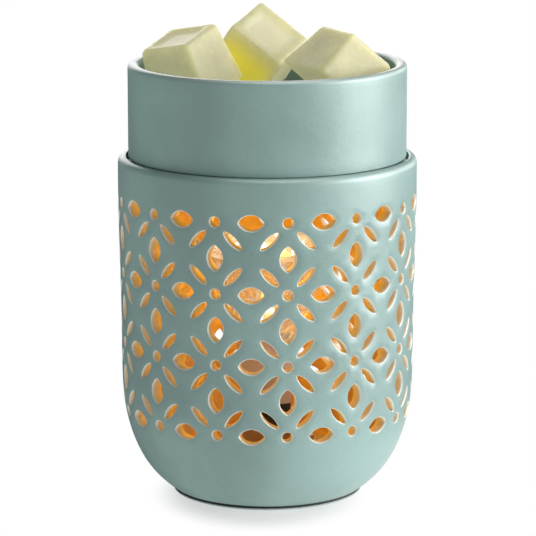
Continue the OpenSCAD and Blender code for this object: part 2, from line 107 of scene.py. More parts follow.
class Value:
    """A node's output that can be used in Python expressions. Each operator adds a Math node."""

    def __init__(self, nodes: "Nodes", socket: bpy.types.NodeSocket) -> None:
        """Wrap an output of a node, and keep the tree that it is in."""
        self.nodes = nodes
        self.socket = socket

    def _with(self, operation: str, *others: "Value | float", flip: bool = False) -> "Value":
        """Add a Math node of this and other operands.

        Args:
            operation: The Math node's operation.
            others: The operands after this one.
            flip: Whether this operand comes second.

        Returns:
            The Math node's output.
        """
        operands = [self, *others]
        if flip:
            operands.reverse()
        return self.nodes.add("Math", {"operation": operation}, operands)

    def __add__(self, other: "Value | float") -> "Value":
        """Return this plus other."""
        return self._with("ADD", other)

    def __sub__(self, other: "Value | float") -> "Value":
        """Return this minus other."""
        return self._with("SUBTRACT", other)

    def __mul__(self, other: "Value | float") -> "Value":
        """Return this times other."""
        return self._with("MULTIPLY", other)

    def __truediv__(self, other: "Value | float") -> "Value":
        """Return this over other."""
        return self._with("DIVIDE", other)

    def __pow__(self, other: "Value | float") -> "Value":
        """Return this to the power of other."""
        return self._with("POWER", other)

    def __rsub__(self, other: float) -> "Value":
        """Return other minus this."""
        return self._with("SUBTRACT", other, flip=True)

    def sine(self) -> "Value":
        """Return the sine of this angle."""
        return self._with("SINE")

    def cosine(self) -> "Value":
        """Return the cosine of this angle."""
        return self._with("COSINE")

    def step(self, low: float, high: float) -> "Value":
        """Return 0 below low, 1 above high, and a smooth step between them."""
        sockets = {"Value": self, "From Min": low, "From Max": high}
        return self.nodes.add("MapRange", {"interpolation_type": "SMOOTHSTEP"}, sockets)


class Nodes:
    """Adds nodes to a shader or geometry tree."""

    # The places of a Mix node's inputs and of its output, where it mixes colours.
    MIX_FACTOR, MIX_FIRST, MIX_SECOND, MIX_RESULT = 0, 6, 7, 2

    def __init__(self, tree: bpy.types.NodeTree) -> None:
        """Keep the tree and its kind of node."""
        self.tree = tree
        self.family = "GeometryNode" if tree.bl_idname == "GeometryNodeTree" else "ShaderNode"

    def node(self, kind: str, settings: Settings = None, sockets: Sockets = None) -> bpy.types.Node:
        """Add a node, set its settings, then fill its sockets.

        Args:
            kind: The node's type, without its family's prefix.
            settings: Attributes of the node.
            sockets: Values or links, by the input's name or place, or in order.

        Returns:
            The new node.
        """
        names = (self.family + kind, "ShaderNode" + kind, kind)
        new = self.tree.nodes.new(next(name for name in names if hasattr(bpy.types, name)))
        for key, value in (settings or {}).items():
            setattr(new, key, value)
        pairs = sockets.items() if isinstance(sockets, dict) else enumerate(sockets or ())
        for key, value in pairs:
            target = new.inputs[key]
            if isinstance(value, Value):
                self.tree.links.new(value.socket, target)
            elif isinstance(value, bpy.types.NodeSocket):
                self.tree.links.new(value, target)
            else:
                target.default_value = value
        return new

    def add(
        self,
        kind: str,
        settings: Settings = None,
        sockets: Sockets = None,
        output: str | int = 0,
    ) -> Value:
        """Add a node as node() does, and return one of its outputs, by name or by place."""
        return Value(self, self.node(kind, settings, sockets).outputs[output])

    def mix(self, factor: Value, first: Value | Color, second: Value | Color) -> Value:
        """Mix two colours.

        Args:
            factor: How much of the second colour there is.
            first: The colour at factor 0.
            second: The colour at factor 1.

        Returns:
            The mixed colour.
        """
        ends = [c if isinstance(c, Value) else (*c, 1.0) for c in (first, second)]
        sockets = {self.MIX_FACTOR: factor, self.MIX_FIRST: ends[0], self.MIX_SECOND: ends[1]}
        return self.add("Mix", {"data_type": "RGBA"}, sockets, self.MIX_RESULT)

    def place(self) -> tuple[Value, ...]:
        """Return the three Object coordinates, each by itself."""
        parts = self.node("SeparateXYZ", sockets=[self.add("TexCoord", output="Object")])
        return tuple(Value(self, part) for part in parts.outputs)

    def attribute(self, name: str) -> Value:
        """Return a number that the mesh holds at each vertex."""
        return self.add("Attribute", {"attribute_name": name}, output="Fac")

    def ray(self, kind: str) -> Value:
        """Return 1 for rays of a kind, such as Camera, and 0 for others."""
        return self.add("LightPath", output=f"Is {kind} Ray")

    def noise(self, pattern: Pattern) -> Value:
        """Add a pattern's noise over Object coordinates.

        Args:
            pattern: The pattern.

        Returns:
            The noise, which is 0.5 on average.
        """
        where = {"Vector": self.add("TexCoord", output="Object"), "Scale": pattern.stretch}
        spots = self.add("Mapping", {"vector_type": "POINT"}, where)
        sizes = {"Scale": pattern.scale, "Detail": pattern.detail, "Roughness": pattern.fine}
        return self.add("TexNoise", {}, {"Vector": spots, **sizes})

    def bump(self, height: Value, depth: float) -> Value:
        """Return a normal that a 0 to 1 pattern bumps by up to depth metres."""
        sockets = {"Height": height, "Distance": depth, "Strength": 1.0}
        return self.add("Bump", {}, sockets, "Normal")


# ---------------------------------------------------------------- finishes


@dataclass(frozen=True)
class Finish:
    """A surface finish, and the constants that its shader holds."""

    name: str
    color: Color
    roughness: float = 0.5
    metallic: float = 0.0
    relief: float = 0.0
    fixed: dict = field(default_factory=dict)

    def material(self) -> bpy.types.Material:
        """Make the material, or find it when it is made already.

        Returns:
            The finish's material.
        """
        found = bpy.data.materials.get(self.name)
        if found:
            return found
        new = bpy.data.materials.new(self.name)
        new.use_nodes = True
        shader = new.node_tree.nodes["Principled BSDF"]
        plain = {
            "Base Color": (*self.color, 1.0),
            "Roughness": self.roughness,
            "Metallic": self.metallic,
        }
        for key, value in {**plain, **self.fixed}.items():
            shader.inputs[key].default_value = value
        for key, value in self.surface(Nodes(new.node_tree)).items():
            new.node_tree.links.new(value.socket, shader.inputs[key])
        new.diffuse_color = (*self.color, 1.0)
        return new

    def surface(self, nodes: Nodes) -> dict[str, Value]:
        """Return what varies over the surface, by shader input. Each finish has its own."""
        return {}

    def texture(self, nodes: Nodes, *patterns: Pattern) -> tuple[list[Value], dict[str, Value]]:
        """Add patterns, and the roughness and the relief that they make together.

        Args:
            nodes: The material's tree.
            patterns: The patterns, one with a share in the roughness at least.

        Returns:
            Each pattern's noise, stepped where it has a reach, and the values by shader input.
        """
        noises = [nodes.noise(p) for p in patterns]
        dulls = [n * p.dull for n, p in zip(noises, patterns) if p.dull]
        lifts = [n * p.lift for n, p in zip(noises, patterns) if p.lift]
        middle = self.roughness - sum(p.dull for p in patterns) / 2
        values = {"Roughness": sum(dulls[1:], dulls[0]) + middle}
        if lifts:
            values["Normal"] = nodes.bump(sum(lifts[1:], lifts[0]), self.relief)
        steps = [n.step(*p.reach) if p.reach else n for n, p in zip(noises, patterns)]
        return steps, values


@dataclass(frozen=True)
class Glaze(Finish):
    """Matt ceramic glaze over a clay body whose colour is tinted orange as painted lamp light.

    The mesh marks thin glaze, which carries a painted highlight, bare clay and a painted lamp glow.
    """

    relief: float = 0.16 * MM
    # Bare clay: a cream clay colour tinted orange, which paints the lamp's light on the inside.
    bare: Color = (0.76, 0.52, 0.18)
    # Orange glow painted on the openings' inner rims, standing in for the lamp's light on them.
    painted_lamp_glow: Color = (1.0, 0.46, 0.01)
    # Pale edge colour: glaze that breaks thin at edges, and also a painted highlight on the rims.
    edge: Color = (0.84, 0.80, 0.69)
    speck: Color = (0.16, 0.20, 0.19)
    speck_share: float = 0.45
    shades: Point2 = (0.90, 1.07)
    clay_shade: float = 0.93
    cloud: Pattern = Pattern(28.0, 3.0, (0.35, 0.65), dull=0.10)
    ripple: Pattern = Pattern(160.0, 2.0, lift=0.6)
    grain: Pattern = Pattern(900.0, 2.0, (0.3, 0.7), dull=0.08, lift=0.25)
    specks: Pattern = Pattern(2100.0, 0.0, (0.735, 0.775))

    def surface(self, nodes: Nodes) -> dict[str, Value]:
        """Make clouded colour, fine specks, painted-highlight thin edges and a faint orange-peel
        relief.

        Args:
            nodes: The material's tree.

        Returns:
            The values by shader input.
        """
        patterns = (self.cloud, self.grain, self.specks, self.ripple)
        (cloud, grain, specks, _), values = self.texture(nodes, *patterns)
        body = nodes.mix(cloud, *(tint(self.color, shade) for shade in self.shades))
        body = nodes.mix(specks * self.speck_share, body, self.speck)
        # Thin glaze and a painted highlight on the openings' rims and the dish's lip.
        body = nodes.mix(nodes.attribute("thin"), body, self.edge)
        # Bare clay, in the orange that paints the lamp's light on it.
        clay = nodes.mix(grain, tint(self.bare, self.clay_shade), self.bare)
        values["Base Color"] = nodes.mix(nodes.attribute("bare"), body, clay)
        # Painted lamp glow on the openings' inner rims, where the mesh marks it.
        values["Emission Color"] = nodes.mix(nodes.attribute("warm"), BLACK, self.painted_lamp_glow)
        return values


@dataclass(frozen=True)
class Wax(Finish):
    """Soft cast wax: cloudy, with a pale bloom, a painted glow and a deeper colour painted on a
    shaded face.
    """

    relief: float = 0.30 * MM
    # Deeper colour painted on the middle melt's shaded face, standing in for light seen through the
    # wax.
    core: Color = (0.78, 0.68, 0.05)
    bloom: Color = (0.59, 0.56, 0.37)
    bloom_share: float = 0.35
    shade: float = 1.10
    cloud: Pattern = Pattern(95.0, 4.0, (0.38, 0.66), lift=0.8, fine=0.6)
    frost: Pattern = Pattern(420.0, 3.0, (0.55, 0.72), dull=0.22, lift=0.2)

    def surface(self, nodes: Nodes) -> dict[str, Value]:
        """Make clouds of bloom, the attributes' paler colour and painted deeper colour, and a
        dented relief.

        Args:
            nodes: The material's tree.

        Returns:
            The values by shader input.
        """
        (cloud, frost), values = self.texture(nodes, self.cloud, self.frost)
        color = nodes.mix(cloud, self.color, tint(self.color, self.shade))
        color = nodes.mix(frost * self.bloom_share, color, self.bloom)
        # Painted deeper colour where light would show through the wax in shade.
        color = nodes.mix(nodes.attribute("deep"), color, self.core)
        color = nodes.mix(nodes.attribute("pale"), color, self.bloom)
        # The wax glows in its own colour: painted light that lifts its shaded faces.
        return {**values, "Base Color": color, "Emission Color": color}


@dataclass(frozen=True)
class Moulded(Finish):
    """Moulded plastic or rubber with a fine grain and faint flow marks, in one or two colours."""

    relief: float = 0.03 * MM
    shade: Point2 = (1.25, 0.012)
    flow: Pattern = Pattern(60.0, 2.0, (0.3, 0.8), dull=0.15)
    grain: Pattern = Pattern(2400.0, 1.0, dull=0.12, lift=1.0)
    upper: Color | None = None
    upper_z: float = 0.0
    upper_fade: float = 0.1 * MM

    def surface(self, nodes: Nodes) -> dict[str, Value]:
        """Make an uneven colour, gloss and grain, and the upper colour above its height.

        Args:
            nodes: The material's tree.

        Returns:
            The values by shader input.
        """
        (flow, _), values = self.texture(nodes, self.flow, self.grain)
        color = nodes.mix(flow, self.color, tint(self.color, *self.shade))
        if self.upper:
            above = nodes.place()[2].step(self.upper_z, self.upper_z + self.upper_fade)
            color = nodes.mix(above, color, self.upper)
        return {**values, "Base Color": color}


@dataclass(frozen=True)
class Metal(Finish):
    """Drawn or plated metal with fine lines and dull patches."""

    metallic: float = 1.0
    relief: float = 0.02 * MM
    tarnish: Color = (0.42, 0.40, 0.38)
    tarnish_share: float = 0.5
    lines: Pattern = Pattern(160.0, 3.0, dull=0.22, lift=1.0, stretch=(3.0, 3.0, 90.0))
    patches: Pattern = Pattern(130.0, 4.0, (0.52, 0.78), dull=0.16)

    def surface(self, nodes: Nodes) -> dict[str, Value]:
        """Make brushed lines and dull patches.

        Args:
            nodes: The material's tree.

        Returns:
            The values by shader input.
        """
        (_, patches), values = self.texture(nodes, self.lines, self.patches)
        values["Base Color"] = nodes.mix(patches * self.tarnish_share, self.color, self.tarnish)
        return values


@dataclass(frozen=True)
class Glass(Finish):
    """Clear or coated glass with faint smears and a warm glow."""

    glow: Color = BLACK
    glow_low: float = 0.35
    shade: float = 0.94
    smear: Pattern = Pattern(110.0, 3.0, (0.4, 0.7), dull=0.10)
    light: Pattern = Pattern(240.0, 2.0, (0.42, 0.62))

    def surface(self, nodes: Nodes) -> dict[str, Value]:
        """Make smears in the gloss and uneven warm light in the glass.

        Args:
            nodes: The material's tree.

        Returns:
            The values by shader input.
        """
        (smear, light), values = self.texture(nodes, self.smear, self.light)
        values["Base Color"] = nodes.mix(smear, self.color, tint(self.color, self.shade))
        dim = tint(self.glow, self.glow_low)
        values["Emission Color"] = nodes.mix(light, dim, self.glow)
        return values


@dataclass(frozen=True)
class Glowing(Finish):
    """Hot wire that gives light."""

    hot: Color = (1.0, 0.72, 0.36)
    shade: float = 1.2
    light: Pattern = Pattern(700.0, 1.0)

    def surface(self, nodes: Nodes) -> dict[str, Value]:
        """Return light that is a little uneven along the wire."""
        light = nodes.noise(self.light)
        return {"Emission Color": nodes.mix(light, self.hot, tint(self.hot, self.shade))}


class Finishes(Enum):
    """The finishes of the warmer's pieces."""

    GLAZE = Glaze(
        "sage_glaze",
        (0.272, 0.414, 0.388),
        0.44,
        # The strength of the painted lamp glow.
        fixed={"Specular IOR Level": 1.0, "Emission Strength": 0.35},
    )
    WAX = Wax(
        "pale_wax",
        (0.465, 0.44, 0.255),
        0.48,
        fixed={
            "Subsurface Weight": 1.0,
            "Subsurface Radius": (1.0, 0.9, 0.35),
            "Subsurface Scale": 14.0 * MM,
            "Specular IOR Level": 0.25,
            # The glow of the wax's own colour, painted light on its shaded faces.
            "Emission Strength": 0.50,
        },
    )
    RUBBER = Moulded("black_rubber", (0.014, 0.016, 0.016), 0.785, relief=0.05 * MM)
    BLACK_PLASTIC = Moulded("black_plastic", (0.016, 0.016, 0.017), 0.455)
    HOLDER = Moulded(
        "two_part_holder",
        (0.016, 0.016, 0.017),
        0.505,
        upper=(0.74, 0.70, 0.60),
        upper_z=33.5 * MM,
    )
    WHITE_PLASTIC = Moulded("white_plastic", (0.76, 0.74, 0.68), 0.425)
    WHITE_CERAMIC = Moulded(
        "white_ceramic",
        (0.74, 0.72, 0.66),
        0.625,
        relief=0.05 * MM,
        grain=replace(Moulded.grain, scale=1500.0),
    )
    STEEL = Metal("plated_steel", (0.66, 0.67, 0.68), 0.36)
    BRASS = Metal("contact_brass", (0.72, 0.50, 0.20), 0.34, tarnish=(0.40, 0.26, 0.12))
    CLEAR_GLASS = Glass(
        "clear_glass",
        (0.96, 0.97, 0.96),
        0.08,
        fixed={"Transmission Weight": 0.92, "IOR": 1.46, "Emission Strength": 0.25},
        glow=(1.0, 0.86, 0.60),
    )
    FACET_GLASS = Glass(
        "facet_glass",
        (0.95, 0.72, 0.40),
        0.13,
        metallic=0.35,
        fixed={"Transmission Weight": 0.45, "IOR": 1.50, "Emission Strength": 0.75},
        glow=(1.0, 0.62, 0.20),
    )
    FILAMENT = Glowing("hot_filament", (1.0, 0.8, 0.5), 0.5, fixed={"Emission Strength": 12.0})


# ---------------------------------------------------------------- meshes


def mesh_object(
    name: str,
    points: Sequence,
    faces: Sequence,
    smooth: bool = True,
) -> bpy.types.Object:
    """Make a mesh object at the origin.

    Args:
        name: The object's name.
        points: The vertices, in metres.
        faces: The faces, as vertex indices.
        smooth: Whether the faces are smooth shaded.

    Returns:
        The new object, linked to the scene.
    """
    mesh = bpy.data.meshes.new(name)
    mesh.from_pydata([tuple(p) for p in points], [], [tuple(f) for f in faces])
    mesh.polygons.foreach_set("use_smooth", [smooth] * len(mesh.polygons))
    mesh.update()
    new = bpy.data.objects.new(name, mesh)
    bpy.context.scene.collection.objects.link(new)
    return new


def store(obj: bpy.types.Object, name: str, values: Sequence[float]) -> None:
    """Store a number for each vertex, for a finish to read."""
    attribute = obj.data.attributes.new(name, "FLOAT", "POINT")
    attribute.data.foreach_set("value", list(values))


class RolledStrip:
    """Geometry Nodes that roll a flat strip up and repeat it round an axis.

    The strip's vertices hold an angle, a radius and a height.
    """

    JOIN_REACH = 0.002 * MM

    def __init__(self, name: str) -> None:
        """Build the tree, with inputs for the count, the first strip's turn and the finish.

        Args:
            name: The tree's name.
        """
        tree = bpy.data.node_groups.new(name, "GeometryNodeTree")
        face = tree.interface
        face.new_socket("Geometry", in_out="INPUT", socket_type="NodeSocketGeometry")
        self.inputs = {}
        for label, kind in (("Count", "Int"), ("First Turn", "Float"), ("Finish", "Material")):
            socket = face.new_socket(label, in_out="INPUT", socket_type="NodeSocket" + kind)
            self.inputs[label] = socket.identifier
        face.new_socket("Geometry", in_out="OUTPUT", socket_type="NodeSocketGeometry")
        nodes = Nodes(tree)
        given = nodes.node("NodeGroupInput")
        count, first = (Value(nodes, given.outputs[label]) for label in ("Count", "First Turn"))
        flat = nodes.node("SeparateXYZ", sockets=[nodes.add("InputPosition")])
        angle, radius, height = (Value(nodes, part) for part in flat.outputs)
        bent = nodes.add("CombineXYZ", {}, [radius * angle.cosine(), radius * angle.sine(), height])
        moved = {"Geometry": given.outputs["Geometry"], "Position": bent}
        strip = nodes.add("SetPosition", sockets=moved)
        angles = nodes.add("InputIndex") * math.tau / count + first
        turns = nodes.add("CombineXYZ", sockets={"Z": angles})
        spots = nodes.add("Points", sockets={"Count": count})
        repeats = {"Points": spots, "Instance": strip, "Rotation": turns}
        placed = nodes.add("InstanceOnPoints", sockets=repeats)
        whole = nodes.add("RealizeInstances", sockets=[placed])
        joining = {"Geometry": whole, "Distance": self.JOIN_REACH}
        joined = nodes.add("MergeByDistance", sockets=joining)
        dressing = {"Geometry": joined, "Material": given.outputs["Finish"]}
        nodes.node("NodeGroupOutput", sockets=[nodes.add("SetMaterial", sockets=dressing)])
        self.tree = tree

    def roll(
        self,
        strip: bpy.types.Object,
        count: int,
        first_turn: float,
        finish: Finishes,
    ) -> bpy.types.Object:
        """Roll a strip up into a closed plain mesh.

        Args:
            strip: The flat strip. It is removed.
            count: How many times it goes round.
            first_turn: The first strip's angle, in radians.
            finish: The finish of the whole piece.

        Returns:
            The rolled piece.
        """
        modifier = strip.modifiers.new("roll", "NODES")
        modifier.node_group = self.tree
        modifier[self.inputs["Count"]] = count
        modifier[self.inputs["First Turn"]] = first_turn
        modifier[self.inputs["Finish"]] = finish.value.material()
        return plain_mesh(strip)


def plain_mesh(obj: bpy.types.Object) -> bpy.types.Object:
    """Turn an object with modifiers into one with a plain mesh, under the same name.

    Args:
        obj: The object. It is removed.

    Returns:
        The new object.
    """
    graph = bpy.context.evaluated_depsgraph_get()
    shown = obj.evaluated_get(graph)
    mesh = bpy.data.meshes.new_from_object(shown, preserve_all_data_layers=True, depsgraph=graph)
    name = obj.name
    bpy.data.objects.remove(obj)
    mesh.name = name
    new = bpy.data.objects.new(name, mesh)
    bpy.context.scene.collection.objects.link(new)
    return new


def arc(center: Point2, radius: float, start: float, end: float, steps: int) -> list[Point2]:
    """Return points along an arc of a profile, between two angles in degrees, both included."""
    angles = np.radians(np.linspace(start, end, steps + 1))
    return [(center[0] + radius * math.cos(a), center[1] + radius * math.sin(a)) for a in angles]


def smooth_curve(knots: Sequence[Point2], count: int) -> tuple[np.ndarray, np.ndarray]:
    """Run a smooth curve through knots.

    Args:
        knots: Heights, each with a radius.
        count: How many points the curve has.

    Returns:
        The curve's heights and its radii.
    """
    heights, radii = np.array(knots).T
    slopes = np.gradient(radii, heights)
    curve_z = np.linspace(heights[0], heights[-1], count)
    span = np.clip(np.searchsorted(heights, curve_z, side="right") - 1, 0, len(heights) - 2)
    gap = heights[span + 1] - heights[span]
    t = (curve_z - heights[span]) / gap
    curve_r = (
        radii[span] * (2 * t**3 - 3 * t**2 + 1)
        + slopes[span] * gap * (t**3 - 2 * t**2 + t)
        + radii[span + 1] * (3 * t**2 - 2 * t**3)
        + slopes[span + 1] * gap * (t**3 - t**2)
    )
    return curve_z, curve_r


# ---------------------------------------------------------------- the shade


@dataclass(frozen=True)
class Opening:
    """One opening's rounded outline: points of its core, which grow along normals by its reach."""

    TIP_STEPS = 4

    column: float
    height: float
    core: np.ndarray
    normals: np.ndarray
    reach: float
    closed: bool = True

    @staticmethod
    def lens(
        column: float,
        height: float,
        size: Point2,
        lean: float,
        tip: float,
        sides: int,
    ) -> "Opening":
        """Make a lens with softly rounded tips.

        Args:
            column: The angle of its centre, in radians.
            height: The height of its centre.
            size: Its length before the tips are rounded, and its width.
            lean: The turn of its length from upright, in degrees.
            tip: The tips' radius.
            sides: Steps along each side, an even number.

        Returns:
            The opening.
        """
        length, width = size
        bow = (length * length + width * width) / (4 * width)
        offset = bow - width / 2
        half = math.acos(offset / (bow - tip))
        end = math.sqrt((bow - tip) ** 2 - offset**2)
        core, normals = [], []
        for a in np.linspace(-half, half, sides + 1):
            core.append(((bow - tip) * math.cos(a) - offset, (bow - tip) * math.sin(a)))
            normals.append((math.cos(a), math.sin(a)))
        for a in np.linspace(half, math.pi - half, Opening.TIP_STEPS + 1)[1:-1]:
            core.append((0.0, end))
            normals.append((math.cos(a), math.sin(a)))
        turn = math.radians(lean)
        spin = np.array([[math.cos(turn), math.sin(turn)], [-math.sin(turn), math.cos(turn)]])
        both = [np.vstack([part, np.negative(part)]) @ spin for part in (core, normals)]
        return Opening(column, height, *both, tip)

    @staticmethod
    def dot(column: float, height: float, radius: float, steps: int) -> "Opening":
        """Make a round opening, whose core is its centre alone.

        Args:
            column: The angle of its centre, in radians.
            height: The height of its centre.
            radius: Its radius.
            steps: Steps round it.

        Returns:
            The opening.
        """
        a = np.arange(steps) * math.tau / steps
        normals = np.stack([np.cos(a), np.sin(a)], axis=1)
        return Opening(column, height, np.zeros_like(normals), normals, radius)

    def half(self, side: int) -> "Opening":
        """Return the half on one side of its own column, as an open outline.

        Args:
            side: 1 for the half at larger angles, -1 for the other.

        Returns:
            The half opening, with its two ends on the column.
        """
        keep = [k for k in range(len(self.core)) if side * self.core[k][0] > -TINY]
        start = next(k for k in keep if (k - 1) % len(self.core) not in keep)
        order = [(start + k) % len(self.core) for k in range(len(keep))]
        core, normals = self.core[order], self.normals[order]
        return replace(self, core=core, normals=normals, closed=False)


Outlines = list[tuple[Opening, list[int]]]


@dataclass
class Shade:
    """The pierced ceramic shade, made as one strip two columns wide that repeats round the axis.

    The side is heights, each with the outer radius there. A lens or a petal is a length and a
    width. A soft edge is how wide and how deep it is. The band is where the pattern's faces begin
    and end, and the grid's stops are how much of a pitch stays free at the right and at the top.
    """

    JOIN_REACH = 1e-5

    strips: RolledStrip
    radius: float = 54 * MM
    height: float = 123 * MM
    wall: float = 4.4 * MM
    foot_z: float = 0.6 * MM
    side: Sequence[Point2] = (
        (0.9 * MM, 34.9 * MM),
        (3.2 * MM, 37.9 * MM),
        (6 * MM, 40.9 * MM),
        (10 * MM, 44.2 * MM),
        (15 * MM, 47.1 * MM),
        (21 * MM, 49.6 * MM),
        (28 * MM, 51.5 * MM),
        (36 * MM, 52.65 * MM),
        (46 * MM, 53.05 * MM),
        (62 * MM, 53.15 * MM),
        (112 * MM, 54.0 * MM),
        (123 * MM, 54.0 * MM),
    )
    side_points: int = 600
    columns: int = 26
    row_z: float = 30.8 * MM
    row_pitch: float = 25.6 * MM
    rows: int = 4
    dot_r: float = 1.78 * MM
    dot_steps: int = 18
    lens: Point2 = (8.95 * MM, 5.55 * MM)
    lens_steps: int = 10
    petal: Point2 = (9.2 * MM, 2.6 * MM)
    petal_lean: float = 45
    petal_steps: int = 8
    tip_r: float = 0.4 * MM
    outer_soft: Point2 = (0.42 * MM, 0.9 * MM)
    outer_turns: Sequence[float] = (90, 66, 36, 12)
    # How much thin glaze and painted highlight each outer ring of an opening carries.
    outer_thin_and_highlight: Sequence[float] = (0.0, 0.9, 1.0, 1.0)
    inner_soft: Point2 = (0.15 * MM, 0.4 * MM)
    inner_turns: Sequence[float] = (20, 60, 90)
    pattern_turn: float = 7.8
    band: Point2 = (26 * MM, 112 * MM)
    across: int = 12
    edge_pitch: float = 2.4 * MM
    grid_pitch: float = 2.3 * MM
    grid_squeeze: float = 0.87
    grid_gap: float = 1.15 * MM
    grid_side: float = 1.0 * MM
    grid_stops: Point2 = (0.5, 0.6)
    bare_from: float = 0.5 * MM
    bare_fade: float = 0.7 * MM

    def __post_init__(self) -> None:
        """Work out what follows from the sizes, and start with no points or faces."""
        self.step = math.tau / self.columns
        self.curve_z, self.curve_r = smooth_curve(self.side, self.side_points)
        self.points: list[Point3] = []
        self.depths: list[float] = []
        self.thin_glaze_and_highlight: dict[int, float] = {}
        self.lamp_glow_shares: dict[int, float] = {}
        self.faces: list[tuple[int, ...]] = []

    def wall_radius(self, z: float, depth: float) -> float:
        """Return the radius of the wall at a height and a depth under its outer face."""
        return float(np.interp(z, self.curve_z, self.curve_r)) - depth

    def openings(self) -> list[Opening]:
        """Lay out the openings of one strip.

        Returns:
            The openings. Those on the strip's two edges are halves.
        """
        found = []
        for row in range(self.rows):
            z = self.row_z + row * self.row_pitch
            found.append(Opening.dot(0.0, z, self.dot_r, self.dot_steps))
            for side in (-1, 1):
                found.append(self.lens_at(side * self.step, z, 90).half(-side))
            if row < self.rows - 1:
                found.append(self.lens_at(0.0, z + self.row_pitch / 2, 0))
                for quarter, turn in ((0.5, -1), (1.5, 1)):
                    for side in (-1, 1):
                        place = z + quarter * self.row_pitch / 2
                        lean = turn * side * self.petal_lean
                        shape = (self.petal, lean, self.tip_r, self.petal_steps)
                        found.append(Opening.lens(side * self.step / 2, place, *shape))
        return found

    def lens_at(self, column: float, height: float, lean: float) -> Opening:
        """Return a wide lens at an angle and a height, upright or, with lean 90, lying."""
        return Opening.lens(column, height, self.lens, lean, self.tip_r, self.lens_steps)

    def ring(self, opening: Opening, grow: float, depth: float) -> list[int]:
        """Add one outline of an opening.

        Args:
            opening: The opening.
            grow: How much wider the outline is than the opening's throat.
            depth: The outline's depth under the outer face.

        Returns:
            The new points' indices.
        """
        size = opening.reach + grow
        made = []
        for core, normal in zip(opening.core, opening.normals):
            x = core[0] + size * normal[0]
            z = opening.height + core[1] + size * normal[1]
            r = self.wall_radius(z, depth)
            made.append(self.point(opening.column + x / r, r, z, depth))
        return made

    def point(self, angle: float, radius: float, z: float, depth: float) -> int:
        """Add a point to the strip.

        Args:
            angle: Its angle, in radians.
            radius: Its radius.
            z: Its height.
            depth: Its depth under the outer face.

        Returns:
            Its index.
        """
        self.points.append((angle, radius, z))
        self.depths.append(depth)
        return len(self.points) - 1

    def pierce(self, opening: Opening) -> tuple[list[int], list[int]]:
        """Add an opening's soft edges and its wall.

        Args:
            opening: The opening.

        Returns:
            The outline on the outer face and that on the inner face.
        """
        rings = []
        wide, deep = self.outer_soft
        for t, thin in zip(np.radians(self.outer_turns), self.outer_thin_and_highlight):
            rings.append(self.ring(opening, wide * (1 - math.cos(t)), deep * (1 - math.sin(t))))
            self.thin_glaze_and_highlight.update((k, thin) for k in rings[-1])
        wide, deep = self.inner_soft
        for t in np.radians(self.inner_turns):
            depth = self.wall - deep * (1 - math.sin(t))
            rings.append(self.ring(opening, wide * (1 - math.cos(t)), depth))
            # The inner rims carry a painted lamp glow that fades out on the inner face.
            self.lamp_glow_shares.update((k, math.cos(t)) for k in rings[-1])
        for outer, inner in zip(rings, rings[1:]):
            self.stitch(outer, inner, opening.closed)
        return rings[0], rings[-1]

    def stitch(self, first: Sequence[int], second: Sequence[int], closed: bool) -> None:
        """Add faces between two rows of points.

        Args:
            first: The row with the faces' front on its left.
            second: The other row, of as many points.
            closed: Whether the rows are rings.
        """
        count = len(first)
        for k in range(count if closed else count - 1):
            n = (k + 1) % count
            self.faces.append((first[k], first[n], second[n], second[k]))

    def level(self, radius: float, z: float, depth: float) -> list[int]:
        """Add a row of points across the strip and return their indices."""
        across = np.linspace(-self.step, self.step, self.across + 1)
        return [self.point(a, radius, z, depth) for a in across]

    def side_rows(
        self,
        outlines: Outlines,
        edges: Sequence[list[int]],
        depth: float,
    ) -> list[list[int]]:
        """Add points up the strip's two sides, between the halves of openings there.

        Args:
            outlines: Each opening with its outline on this face.
            edges: The points along the band's bottom and top edges.
            depth: The face's depth under the outer face.

        Returns:
            Rows of points, each from one outline or edge to the next.
        """
        rows = []
        for side in (-1, 1):
            ends = sorted(
                (self.points[k][2], k)
                for opening, row in outlines
                if not opening.closed and opening.column * side > 0
                for k in (row[0], row[-1])
            )
            corner = -1 if side > 0 else 0
            stops = [edges[0][corner], *(k for _, k in ends), edges[1][corner]]
            for start, end in zip(stops[::2], stops[1::2]):
                low, high = self.points[start][2], self.points[end][2]
                steps = max(2, round((high - low) / self.edge_pitch))
                row = [start]
                for z in np.linspace(low, high, steps + 1)[1:-1]:
                    row.append(self.point(side * self.step, self.wall_radius(z, depth), z, depth))
                rows.append([*row, end])
        return rows

    def grid(self, outlines: Outlines, borders: Sequence[int], depth: float) -> list[int]:
        """Add an even grid of points between the openings.

        Args:
            outlines: Each opening with its outline on this face.
            borders: The points that the face has already.
            depth: The face's depth under the outer face.

        Returns:
            The new points' indices.
        """
        taken = np.array([(self.points[k][0] * self.radius, self.points[k][2]) for k in borders])
        low, high = self.band
        pitch, reach = self.grid_pitch, self.step * self.radius
        right, top = (edge - stop * pitch for edge, stop in zip((reach, high), self.grid_stops))
        made = []
        for j, z in enumerate(np.arange(low + pitch, top, pitch * self.grid_squeeze)):
            for x in np.arange(-reach + pitch, right, pitch):
                x += pitch / 2 * (j % 2)
                near = np.hypot(taken[:, 0] - x, taken[:, 1] - z).min()
                if near < self.grid_gap or abs(x) > reach - self.grid_side:
                    continue
                if not any(inside(self.points, row, x / self.radius, z) for _, row in outlines):
                    made.append(self.point(x / self.radius, self.wall_radius(z, depth), z, depth))
        return made

